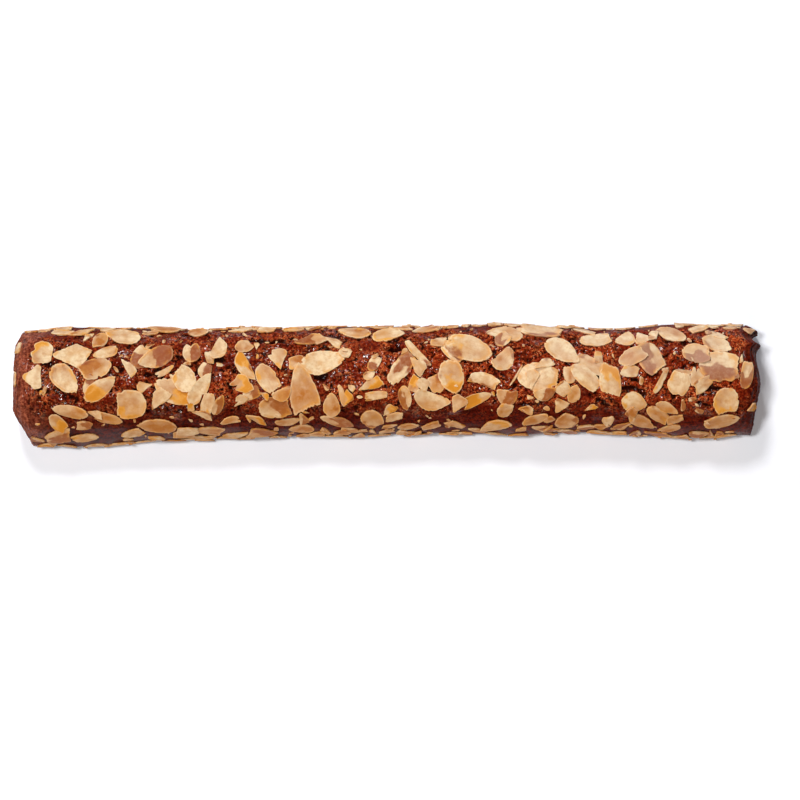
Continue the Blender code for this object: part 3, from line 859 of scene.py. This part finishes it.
def make_crust(crust, relief, skin, pits, surface):
    """The dough as one closed skin: the crust's grid of points, a flat underside and two end faces.
    The relief, skin and pits at each point are kept for the material."""
    crust[..., 2] = np.maximum(crust[..., 2], 0.0)
    inner = np.linspace(0, 1, BASE_ROWS + 2)[1:-1]
    front, back = crust[:, 0], crust[:, -1]
    base = back[:, None] + (front - back)[:, None] * inner[None, :, None]
    base[..., 2] = 0.0
    loops = np.concatenate((crust, base), axis=1)
    index = np.arange(loops.shape[0] * loops.shape[1]).reshape(loops.shape[:2])
    wrapped = np.concatenate((index, index[:, :1]), axis=1)
    quads = np.stack((wrapped[:-1, :-1], wrapped[1:, :-1], wrapped[1:, 1:], wrapped[:-1, 1:]), axis=-1)
    faces = [tuple(face) for face in quads.reshape(-1, 4).tolist()]
    faces.append(tuple(index[0].tolist()))
    faces.append(tuple(reversed(index[-1].tolist())))
    piece = make_piece("speculaas_dough", loops.reshape(-1, 3), faces, surface)
    for name, values, beneath in (("relief", relief / MM, 0.0), ("skin", skin, 1.0), ("pits", pits, 0.0)):
        spread = np.concatenate((values, np.full(base.shape[:2], beneath)), axis=1)
        add_attribute(piece.data, name, spread.ravel())
    return piece


# ---- Materials ----


class Shading:
    """The nodes of a material or of the world, with short calls for adding more."""

    def __init__(self, owner, shader):
        owner.use_nodes = True
        self.owner = owner
        self.tree = owner.node_tree
        self.shader = self.tree.nodes[shader]
        self.coordinates = self.node("TexCoord").outputs
        self.position = self.coordinates["Object"]

    def connect(self, node, inputs):
        """Sets inputs, by name or number, to values or to outputs of other nodes."""
        for socket, value in inputs.items():
            if isinstance(value, bpy.types.NodeSocket):
                self.tree.links.new(value, node.inputs[socket])
            else:
                node.inputs[socket].default_value = value

    def node(self, kind, *values, inputs=(), **settings):
        """A new node, with values for its first inputs or for named ones."""
        made = self.tree.nodes.new("ShaderNode" + kind)
        for name, value in settings.items():
            setattr(made, name, value)
        self.connect(made, dict(enumerate(values)) | dict(inputs))
        return made

    def attribute(self, name, output="Fac"):
        return self.node("Attribute", attribute_name=name).outputs[output]

    def split(self, vector):
        return self.node("SeparateXYZ", vector).outputs

    def maths(self, operation, first, second=0.0, clamp=False):
        return self.node("Math", first, second, operation=operation, use_clamp=clamp).outputs[0]

    def times(self, *values):
        return functools.reduce(functools.partial(self.maths, "MULTIPLY"), values)

    def most(self, *values):
        return functools.reduce(functools.partial(self.maths, "MAXIMUM"), values)

    def uneven(self, value, field, amount):
        """The value, moved up or down by up to half the amount as a noise from 0 to 1 says."""
        return self.maths("ADD", value, self.times(self.maths("SUBTRACT", field, 0.5), amount))

    def ramp(self, *numbers):
        """Of (value, low, high, bottom=0, top=1): eases from bottom to top as the value goes from low
        to high."""
        return self.node("MapRange", *numbers, interpolation_type="SMOOTHSTEP").outputs[0]

    def noise(self, size, detail=3.0, rough=0.55, vector=None):
        """Noise from 0 to 1 with features of about that size."""
        inputs = {"Vector": vector or self.position, "Scale": 1 / size, "Detail": detail, "Roughness": rough}
        return self.node("TexNoise", inputs=inputs).outputs["Fac"]

    def stretched_noise(self, vector, closeness):
        """Noise with as many features to a unit of each axis as `closeness` says."""
        inputs = {"Vector": vector, "Scale": closeness}
        return self.noise(1.0, 3, 0.6, self.node("Mapping", inputs=inputs).outputs[0])

    def mix(self, share, first, second):
        """A colour between two."""
        colours = {6: first, 7: second}
        return self.node("Mix", share, inputs=colours, data_type="RGBA").outputs[2]

    def layered(self, colour, *layers):
        """The colour under layers of others, each given as (share, colour)."""
        for share, tint in layers:
            colour = self.mix(share, colour, tint)
        return colour

    def scaled(self, colour, factor):
        """The colour made lighter or darker."""
        inputs = {0: colour, "Scale": factor}
        return self.node("VectorMath", inputs=inputs, operation="SCALE").outputs[0]

    def bump(self, height, distance, strength, **under):
        """A bumpy surface's normal, on top of another one's if Normal is given."""
        inputs = {"Height": height, "Distance": distance, "Strength": strength, **under}
        return self.node("Bump", inputs=inputs).outputs["Normal"]

    def finish(self, **inputs):
        self.connect(self.shader, {name.replace("_", " "): value for name, value in inputs.items()})
        return self.owner


def new_material(name):
    return Shading(bpy.data.materials.new(name), "Principled BSDF")


def srgb(red, green, blue):
    """The shader's numbers for a colour on screen, whose own go from 0 to 255."""

    def linear(value):
        value /= 255
        return value / 12.92 if value <= 0.04045 else ((value + 0.055) / 1.055) ** 2.4

    return (linear(red), linear(green), linear(blue), 1.0)


# The colours of the crust: its broken dough, painted shade for its front, its smooth skin (darkened
# in part as painted shade), the left end's matt skin (lighter in part as painted light and sheen),
# and painted shade for hollows.
DOUGH, RED_DOUGH, FRONT_SHADE = srgb(132, 31, 7), srgb(162, 52, 18), srgb(48, 3, 0)
DARK_GRAIN, LIGHT_GRAIN, CRUMB = srgb(42, 1, 0), srgb(218, 110, 56), srgb(236, 158, 104)
DARK_SHADED_SKIN, SHADED_SKIN, STREAK = srgb(44, 1, 0), srgb(92, 17, 3), srgb(54, 8, 2)
DARK_MATT_AND_LIGHT, MATT_AND_LIGHT = srgb(104, 40, 24), srgb(170, 94, 68)
HOLLOW_SHADE = srgb(26, 1, 0)

# The colours of the almonds. Rim and edge are partly painted highlight and shadow, ochre is painted
# shade in front, and milky is painted light at the back of the right half.
PALE, TAN, CLOUD = srgb(234, 208, 168), srgb(176, 104, 42), srgb(204, 146, 80)
BLOTCH, FIBRE, SOAKED = srgb(184, 122, 66), srgb(170, 102, 50), srgb(146, 72, 32)
TOASTED, WELL_TOASTED, GOLDEN = srgb(226, 160, 64), srgb(206, 128, 18), srgb(220, 148, 58)
RIM_AND_HIGHLIGHT, EDGE_AND_SHADOW = srgb(240, 210, 166), srgb(200, 124, 50)
OCHRE_SHADE, MILKY_LIGHT = srgb(206, 138, 56), srgb(232, 212, 188)


def crumb_colour(s, y, broad, grain, crumbs):
    """Broken crust: red dough with dark and light grains, pale crumbs, and painted shade towards the front.
    """
    broken = s.ramp(s.noise(4.5 * MM, 3), 0.42, 0.56)
    dark_grain = s.times(s.ramp(grain, 0.4, 0.51, 1, 0), s.ramp(broken, 0, 1, 0.6, 1))
    light_grain = s.times(s.ramp(grain, 0.51, 0.6, 0, 0.9), s.ramp(broken, 0, 1, 0.4, 1))
    return s.layered(
        s.mix(s.ramp(broad, 0.35, 0.65), DOUGH, RED_DOUGH),
        (dark_grain, DARK_GRAIN),
        (light_grain, LIGHT_GRAIN),
        (s.times(s.ramp(crumbs, 0.58, 0.68, 0, 0.8), broken), CRUMB),
        # Painted shade: the crust darkens towards the front, where less light falls.
        (s.ramp(y, -7 * MM, -14 * MM, 0, 0.4), FRONT_SHADE),
    )


def skin_colour(s, x, grain, streaks, at_end):
    """Smooth skin: dark, partly its own colour and partly painted shade; matt and lighter on the left
    end, partly as painted light and sheen; and streaked at both ends.
    """
    return s.layered(
        # Dark skin colours: partly the skin's own, partly painted shade.
        s.mix(s.ramp(grain, 0.4, 0.62), DARK_SHADED_SKIN, SHADED_SKIN),
        # The left end: matt and lighter, partly its own skin and partly painted light and sheen.
        (s.ramp(x, -151 * MM, -162 * MM), s.mix(s.ramp(grain, 0.38, 0.6), DARK_MATT_AND_LIGHT, MATT_AND_LIGHT)),
        (s.times(s.ramp(streaks, 0.56, 0.4, 0, 0.5), at_end), STREAK),
    )


def crust_gloss(s, y, skin, broad, holes, crumbs, streaks, at_end):
    """How glossy the crust is: in patches and glints where it is broken, low down in front, and on
    the folds of both ends."""
    patches = s.times(s.ramp(s.noise(6 * MM, 2), 0.5, 0.62), s.ramp(crumbs, 0.42, 0.52))
    patches = s.times(patches, s.ramp(skin, 0.7, 1, 1, 0.1))
    glints = s.times(s.ramp(holes, 0.4, 0.34), s.ramp(skin, 0.7, 1, 1, 0))
    in_front = s.times(s.ramp(y, -18 * MM, -24 * MM, 0, 0.34), s.ramp(broad, 0.3, 0.6, 0.4, 1), skin)
    folds = s.times(s.ramp(streaks, 0.5, 0.6, 0, 0.2), at_end)
    return s.most(s.times(s.most(patches, glints), 0.8), in_front, folds)


def crust_material():
    s = new_material("speculaas_crust")
    x, y, _ = s.split(s.position)
    relief, skin, pits = (s.attribute(name) for name in ("relief", "skin", "pits"))
    broad = s.noise(9 * MM, 2)
    grain = s.noise(1.25 * MM, 5, 0.68)
    holes = s.noise(0.9 * MM, 2, 0.6)
    crumbs = s.noise(0.6 * MM, 1, 0.5)
    streaks = s.stretched_noise(s.position, (620, 90, 190))
    at_end = s.ramp(s.maths("ABSOLUTE", x), 150 * MM, 160 * MM)
    # Painted shade: small holes, pits, cracks, tears and low-lying crust are coloured near black.
    hole_shade = s.times(s.ramp(holes, 0.58, 0.68, 0, 0.9), s.ramp(skin, 0, 1, 1, 0.3))
    colour = s.layered(
        crumb_colour(s, y, broad, grain, crumbs),
        (s.times(skin, 0.88), skin_colour(s, x, grain, streaks, at_end)),
        (s.most(hole_shade, s.ramp(relief, 0.05, -0.7, 0, 0.9), s.times(pits, 0.95)), HOLLOW_SHADE),
    )
    tooth = s.maths("SUBTRACT", s.times(grain, 1.4), s.times(s.ramp(holes, 0.5, 0.68), 0.6))
    coarse = s.bump(tooth, 1.0 * MM, s.ramp(skin, 0, 1, 1, 0.3))
    return s.finish(
        # Painted light and shade: darker towards -X and lighter towards +X, for how light falls along the
        # bar.
        Base_Color=s.scaled(colour, s.ramp(x, -140 * MM, 140 * MM, 0.92, 1.24)),
        Roughness=s.ramp(grain, 0.3, 0.7, 0.45, 0.65),
        Coat_Weight=crust_gloss(s, y, skin, broad, holes, crumbs, streaks, at_end),
        Coat_Roughness=0.19,
        Specular_IOR_Level=0.03,
        Normal=s.bump(crumbs, 0.35 * MM, s.ramp(skin, 0, 1, 0.8, 0.3), Normal=coarse),
    )


def almond_material():
    s = new_material("almond_flake")
    place = s.attribute("place", "Vector")
    _, _, share = s.split(place)
    tone, toast, stain = s.split(s.attribute("tint", "Vector"))
    x, y, _ = s.split(s.position)
    mottle = s.noise(3 * MM, 3)
    cloudy = s.noise(5 * MM, 3)
    blotch = s.noise(1.8 * MM, 4, 0.65)
    fibre = s.stretched_noise(place, (0.12, 1.2, 1))
    heart = s.ramp(s.uneven(share, mottle, 1.6), 0.95, 0.35)
    browned = s.maths("ADD", s.times(heart, 0.25), s.times(s.ramp(mottle, 0.36, 0.64), 0.3))
    browned = s.maths("MULTIPLY", s.maths("ADD", browned, 0.5), s.times(tone, 1.2), clamp=True)
    toasted = s.uneven(toast, blotch, 0.9)
    soaked = s.ramp(s.uneven(stain, mottle, 0.7), 0.25, 0.6)
    soaked = s.times(soaked, s.ramp(blotch, 0.25, 0.6, 0.7, 0.95))
    # A pale rim: partly the flake's own paler edge, partly a painted highlight along it.
    rim_and_highlight = s.times(s.ramp(share, 0.86, 0.97, 0, 0.65), s.ramp(blotch, 0.35, 0.6, 0.3, 1))
    colour = s.layered(
        s.mix(browned, PALE, TAN),
        (s.ramp(cloudy, 0.42, 0.7, 0, 0.6), CLOUD),
        (s.ramp(blotch, 0.42, 0.72, 0, 0.42), BLOTCH),
        (s.ramp(fibre, 0.52, 0.78, 0, 0.22), FIBRE),
        (s.ramp(toasted, 0.15, 0.55, 0, 0.85), TOASTED),
        (s.ramp(toasted, 0.5, 0.9, 0, 0.8), WELL_TOASTED),
        (soaked, SOAKED),
        (s.times(s.ramp(share, 0.7, 0.98, 0, 0.8), s.ramp(cloudy, 0.46, 0.56)), GOLDEN),
        (s.times(rim_and_highlight, s.ramp(soaked, 0, 0.8, 1, 0.3)), RIM_AND_HIGHLIGHT),
        # The outer ring: partly a toasted edge, partly painted shadow under the edge.
        (s.times(s.ramp(share, 0.97, 0.999, 0, 0.8), s.ramp(mottle, 0.4, 0.6, 0.1, 1)), EDGE_AND_SHADOW),
        # Painted shade: flakes towards the front turn a darker, warmer ochre, as they lie in shade.
        (s.ramp(y, 4 * MM, -12 * MM, 0, 0.18), OCHRE_SHADE),
        # Painted light: flakes at the back of the right half are paler and bluer, where more light falls.
        (s.times(s.ramp(x, -10 * MM, 120 * MM, 0, 0.2), s.ramp(y, -4 * MM, 10 * MM)), MILKY_LIGHT),
    )
    veins = s.bump(fibre, 0.1 * MM, 0.25)
    return s.finish(
        # Painted shade: flakes darker towards -X, for how light falls along the bar.
        Base_Color=s.scaled(colour, s.ramp(x, -160 * MM, 60 * MM, 0.9, 0.99)),
        Roughness=s.ramp(soaked, 0.1, 0.8, 0.55, 0.4),
        Specular_IOR_Level=0.1,
        Subsurface_Weight=0.1,
        Subsurface_Radius=(1.2 * MM, 0.8 * MM, 0.4 * MM),
        Subsurface_Scale=1.0,
        Normal=s.bump(blotch, 0.3 * MM, 0.45, Normal=veins),
    )


def floor_material():
    """White card that glows a little, and more away from the bar."""
    s = new_material("pale_floor")
    _, y, _ = s.split(s.position)
    away = s.node("VectorMath", s.position, operation="LENGTH")
    near_glow = s.ramp(s.maths("ABSOLUTE", y), 40 * MM, 120 * MM, 0.21, 0.4)
    far_glow = s.ramp(away.outputs["Value"], 0.25, 1, 0, 0.6)
    return s.finish(
        Base_Color=s.mix(s.noise(60 * MM, 2), (0.8, 0.815, 0.86, 1.0), (0.81, 0.825, 0.87, 1.0)),
        Roughness=0.8,
        Emission_Color=(0.82, 0.87, 0.98, 1.0),
        Emission_Strength=s.maths("ADD", near_glow, far_glow),
    )


# ---- The scene ----


def aim(thing, place, target):
    thing.location = place
    thing.rotation_mode = "QUATERNION"
    thing.rotation_quaternion = (Vector(target) - Vector(place)).to_track_quat("-Z", "Y")


def add_camera():
    data = bpy.data.cameras.new("camera")
    data.lens = CAMERA_LENS
    data.clip_start = 10 * MM
    tilt = math.radians(CAMERA_ELEVATION)
    back = Vector((0, -math.cos(tilt), math.sin(tilt)))
    camera = add_object("camera", data)
    aim(camera, Vector(CAMERA_TARGET) + back * CAMERA_DISTANCE, CAMERA_TARGET)
    bpy.context.scene.camera = camera


def add_light(name, place, size, power, colour):
    """A round lamp, aimed at the middle of the underside."""
    data = bpy.data.lights.new(name, "AREA")
    data.shape = "DISK"
    data.size = size
    data.energy = power
    data.color = colour
    aim(add_object(name, data), place, (0, 0, 0))


def add_sky():
    """Weak light from all round, strongest from SKY_TOWARD. The camera sees plain white."""
    s = Shading(bpy.data.worlds.new("studio"), "Background")
    toward = s.coordinates["Generated"]
    facing = s.node("VectorMath", toward, SKY_TOWARD, operation="DOT_PRODUCT").outputs["Value"]
    is_camera_ray = s.node("LightPath").outputs["Is Camera Ray"]
    light = s.ramp(facing, 0.0, 1.0, *SKY_STRENGTH)
    seen = s.node("Mix", is_camera_ray, inputs={2: light, 3: 1.0}).outputs[0]
    bpy.context.scene.world = s.finish(Color=(1, 1, 1, 1), Strength=seen)


def add_surroundings():
    add_sky()
    bpy.context.scene.view_settings.view_transform = "Standard"
    for light in LIGHTS:
        add_light(*light)
    side, z = FLOOR_REACH, -FLOOR_DROP
    corners = np.array(((-side, -side, z), (side, -side, z), (side, side, z), (-side, side, z)))
    floor = make_piece("floor", corners, [(0, 1, 2, 3)], floor_material())


def laid_flakes(cover):
    """The almonds, laid from the lowest to the topmost, gathered by kind."""
    draw, tones = random.Random(STREW_SEED), random.Random(STREW_SEED + 1)
    large = strewn_flakes(draw, tones, foot_flakes(draw, tones, landmark_flakes(LANDMARKS, 0)))
    tucked = landmark_flakes(TUCKED, SEEDS_APART)
    loose = landmark_flakes(LOOSE, 2 * SEEDS_APART)
    placed = large + tucked + loose
    side = scattered(placed, SIDE_FLAKES, STREW_FROM, SCATTER_SEED)
    chips = scattered(placed + side, CHIPS, 0.0, SCATTER_SEED + 1)
    heaps = {name: Heap() for name in ("almond_flakes", "almond_pieces", "almond_chips")}
    for name, flakes, plate in (
        ("almond_pieces", side + tucked, UNDER_PLATE),
        ("almond_flakes", large[::-1], LARGE_PLATE),
        ("almond_pieces", loose, LOOSE_PLATE),
        ("almond_chips", chips, CHIP_PLATE),
    ):
        for flake in flakes:
            lay_flake(flake, cover, heaps[name], plate)
    return heaps


def build_bar():
    along_marks = np.linspace(-TIP, TIP, CRUST_COLUMNS)
    close = np.linspace(-CLOSE_REACH, CLOSE_REACH, CLOSE_ROWS)
    wide = np.linspace(CLOSE_REACH, FOOT, WIDE_ROWS + 1)[1:]
    around_marks = np.concatenate((-wide[::-1], close, wide))
    along, around = np.meshgrid(along_marks, around_marks, indexing="ij")
    points = crust_points(along, around)
    relief, skin, pits = crust_relief(along, around, points)
    cover = Cover(along_marks, around_marks, relief)
    heaps = laid_flakes(cover)
    relief = np.minimum(relief, cover.room) * ease((FOOT - np.abs(around)) / FOOT_EASE)
    crust = points + crust_normals(along, around) * relief[..., None]

    dough = make_crust(crust, relief, skin, pits, crust_material())
    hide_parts("speculaas_bar")
    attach(dough, "root")
    almond = almond_material()
    for name, heap in heaps.items():
        piece = heap.make(name, almond)
        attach(piece, "root")


build_bar()
add_surroundings()
add_camera()
